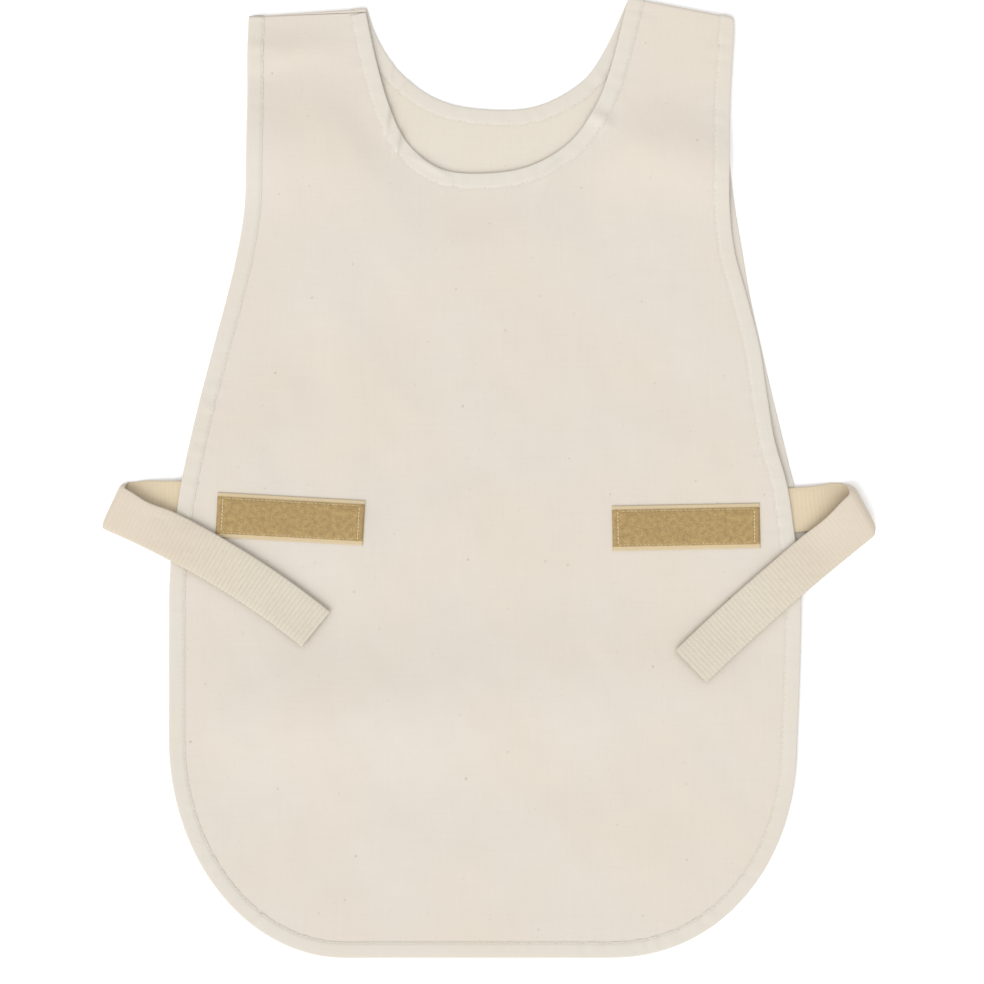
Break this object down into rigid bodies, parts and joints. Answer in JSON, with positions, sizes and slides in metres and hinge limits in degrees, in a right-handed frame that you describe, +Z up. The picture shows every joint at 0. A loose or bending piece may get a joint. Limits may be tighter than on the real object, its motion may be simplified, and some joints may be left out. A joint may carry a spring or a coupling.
{
  "type": "cobbler apron",
  "caption": "Child's cobbler apron: front and back canvas panels joined at the shoulders, bound edges, a neck opening, and side straps that fasten with hook-and-loop tape.",
  "frame": {"origin": "on the floor under the middle of the whole apron as it lies", "axes": "+X to the right as seen from above, +Y towards the shoulders, +Z up; the back panel lies on z = 0"},
  "size_m": [0.4304, 0.5362, 0.0117],
  "materials": {
    "canvas": "unbleached plain-woven cotton canvas with small seed flecks",
    "binding": "folded unbleached cotton edging, topstitched",
    "webbing": "ribbed natural cotton webbing",
    "loop": "napped tan loop tape",
    "hook": "stiff hook tape"
  },
  "bodies": {
    "root": {"front_panel": "canvas", "front_side_binding": "binding", "front_neck_binding": "binding", "back_panel": "canvas", "back_side_binding": "binding", "back_neck_binding": "binding", "left_strap": "webbing", "right_strap": "webbing", "left_loop_patch": "loop", "right_loop_patch": "loop", "left_hook_patch": "hook", "right_hook_patch": "hook"}
  },
  "joints": []
}
